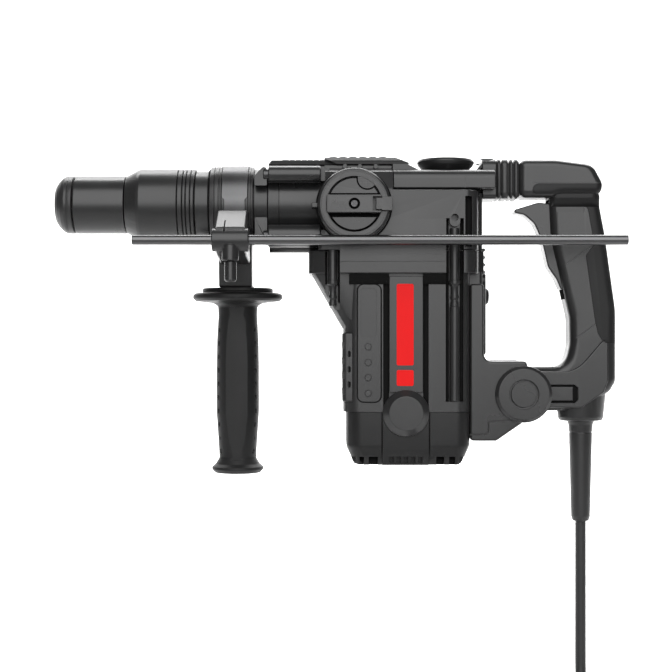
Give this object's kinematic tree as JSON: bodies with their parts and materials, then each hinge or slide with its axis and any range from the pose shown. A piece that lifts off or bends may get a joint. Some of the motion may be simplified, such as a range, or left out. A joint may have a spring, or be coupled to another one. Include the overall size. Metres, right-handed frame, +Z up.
{
  "type": "rotary hammer",
  "caption": "Corded rotary hammer with a locking chuck, side handle with a depth rod, mode dial and a sprung D-handle with a trigger.",
  "frame": {"origin": "middle of the main grip on the tool's middle plane", "axes": "-X towards the nose along the hammer bore, +Z up, +Y to the tool's right side"},
  "size_m": [0.466, 0.1745, 0.5043],
  "materials": {
    "housing": "moulded charcoal plastic, fine grain",
    "casting": "black painted casting",
    "rubber": "soft black rubber",
    "trim": "satin charcoal plastic",
    "steel": "bright steel",
    "dark_steel": "blackened steel",
    "copper": "varnished copper windings",
    "carbon": "carbon",
    "cable": "black rubber cable sheath"
  },
  "bodies": {
    "housing": {"barrel_housing": "casting", "gear_housing": "casting", "top_cover": "housing", "top_pad": "rubber", "rear_arm": "housing", "grease_cap": "housing", "motor_housing": "housing", "end_cap": "housing", "brush_cap_left": "trim", "brush_cap_right": "trim", "pivot_bracket": "housing", "pivot_pin": "steel", "pivot_cap_left": "trim", "pivot_cap_right": "trim", "bellows": "rubber", "field_stator": "dark_steel", "shaft_bearing_lower": "steel", "shaft_bearing_upper": "steel", "crank_bearing": "steel", "front_bearing": "steel", "carbon_brush_left": "carbon", "carbon_brush_right": "carbon"},
    "spindle": {"dust_cap": "rubber", "nose_sleeve": "trim", "tool_holder": "steel", "locking_roller_upper": "steel", "locking_roller_lower": "steel", "hammer_tube": "steel", "bevel_ring_gear": "dark_steel", "sleeve_spring": "steel"},
    "locking_sleeve": {"locking_sleeve": "housing"},
    "impact_bolt": {"impact_bolt": "steel"},
    "striker": {"striker": "steel"},
    "piston": {"piston": "dark_steel", "wrist_pin": "steel", "connecting_rod": "dark_steel"},
    "crank": {"crank_shaft": "dark_steel"},
    "intermediate": {"intermediate_shaft": "dark_steel"},
    "armature": {"armature_shaft": "steel", "armature_core": "copper", "fan": "trim"},
    "mode_dial": {"mode_dial": "trim"},
    "dial_button": {"dial_lock_button": "trim"},
    "lock_button": {"lock_on_button": "trim"},
    "side_handle": {"handle_bracket": "housing", "clamp_band": "steel"},
    "clamp_bolt": {"clamp_bolt": "steel"},
    "side_grip": {"side_grip": "rubber"},
    "depth_rod": {"depth_rod": "steel"},
    "depth_button": {"depth_lock_button": "trim"},
    "rear_handle": {"handle_shell_left": "housing", "handle_shell_right": "housing", "grip_rubber": "rubber", "switch_unit": "trim", "cord_boot": "rubber", "cord_lead": "cable", "cord_coil": "cable", "cord_tail": "cable", "plug": "rubber"},
    "trigger": {"trigger": "trim"}
  },
  "joints": [
    {"name": "spindle_spin", "type": "hinge", "parent": "housing", "child": "spindle", "pos_m": [-0.35, 0, 0.0588], "axis": [1, 0, 0], "continuous": true},
    {"name": "sleeve_slide", "type": "slide", "parent": "spindle", "child": "locking_sleeve", "axis": [1, 0, 0], "range_m": [0, 0.011], "stiffness_N_per_m": 1500, "springref_m": -0.005, "deforming": ["sleeve_spring"]},
    {"name": "impact_bolt_slide", "type": "slide", "parent": "spindle", "child": "impact_bolt", "axis": [1, 0, 0], "range_m": [0, 0.006]},
    {"name": "striker_slide", "type": "slide", "parent": "spindle", "child": "striker", "axis": [1, 0, 0], "range_m": [0, 0.02]},
    {"name": "piston_slide", "type": "slide", "parent": "housing", "child": "piston", "axis": [1, 0, 0], "range_m": [-0.022, 0]},
    {"name": "armature_spin", "type": "hinge", "parent": "housing", "child": "armature", "pos_m": [-0.15, 0, 0], "axis": [0, 0, 1], "continuous": true},
    {"name": "crank_spin", "type": "hinge", "parent": "housing", "child": "crank", "pos_m": [-0.117, 0, 0], "axis": [0, 0, 1], "continuous": true},
    {"name": "intermediate_spin", "type": "hinge", "parent": "housing", "child": "intermediate", "pos_m": [-0.184, 0, 0], "axis": [0, 0, 1], "continuous": true},
    {"name": "mode_dial_turn", "type": "hinge", "parent": "housing", "child": "mode_dial", "pos_m": [-0.192, -0.061, 0.0542], "axis": [0, 1, 0], "range_deg": [-90, 90]},
    {"name": "dial_button_press", "type": "slide", "parent": "mode_dial", "child": "dial_button", "axis": [-1, 0, 0], "range_m": [0, 0.0025], "stiffness_N_per_m": 600, "springref_m": -0.002},
    {"name": "lock_button_press", "type": "slide", "parent": "housing", "child": "lock_button", "axis": [-1, 0, 0], "range_m": [0, 0.003], "stiffness_N_per_m": 600, "springref_m": -0.002},
    {"name": "side_handle_swivel", "type": "hinge", "parent": "housing", "child": "side_handle", "pos_m": [-0.289, 0, 0.0588], "axis": [-1, 0, 0], "range_deg": [-10, 180]},
    {"name": "side_grip_twist", "type": "hinge", "parent": "side_handle", "child": "side_grip", "pos_m": [-0.289, 0, -0.08], "axis": [0, 0, 1], "range_deg": [-180, 180]},
    {"name": "clamp_bolt_slide", "type": "slide", "parent": "side_handle", "child": "clamp_bolt", "axis": [0, 0, 1], "range_m": [-0.00075, 0.00075]},
    {"name": "depth_rod_slide", "type": "slide", "parent": "side_handle", "child": "depth_rod", "axis": [-1, 0, 0], "range_m": [-0.05, 0.28]},
    {"name": "depth_button_press", "type": "slide", "parent": "side_handle", "child": "depth_button", "axis": [0, 0, 1], "range_m": [0, 0.0015], "stiffness_N_per_m": 600, "springref_m": -0.003},
    {"name": "rear_handle_tilt", "type": "hinge", "parent": "housing", "child": "rear_handle", "pos_m": [-0.0535, 0, -0.0988], "axis": [0, -1, 0], "range_deg": [-1.5, 1.5], "stiffness_Nm_per_rad": 900, "deforming": ["bellows"]},
    {"name": "trigger_pull", "type": "hinge", "parent": "rear_handle", "child": "trigger", "pos_m": [-0.018, 0, -0.012], "axis": [0, 1, 0], "range_deg": [0, 7], "stiffness_Nm_per_rad": 1.5, "springref_deg": -6.88}
  ],
  "couplings": [
    {"joint": "crank_spin", "follows": "armature_spin", "ratio": -0.17073},
    {"joint": "intermediate_spin", "follows": "armature_spin", "ratio": -0.15909},
    {"joint": "spindle_spin", "follows": "armature_spin", "ratio": 0.028636},
    {"joint": "clamp_bolt_slide", "follows": "side_grip_twist", "m_per_rad": 0.0002387}
  ]
}
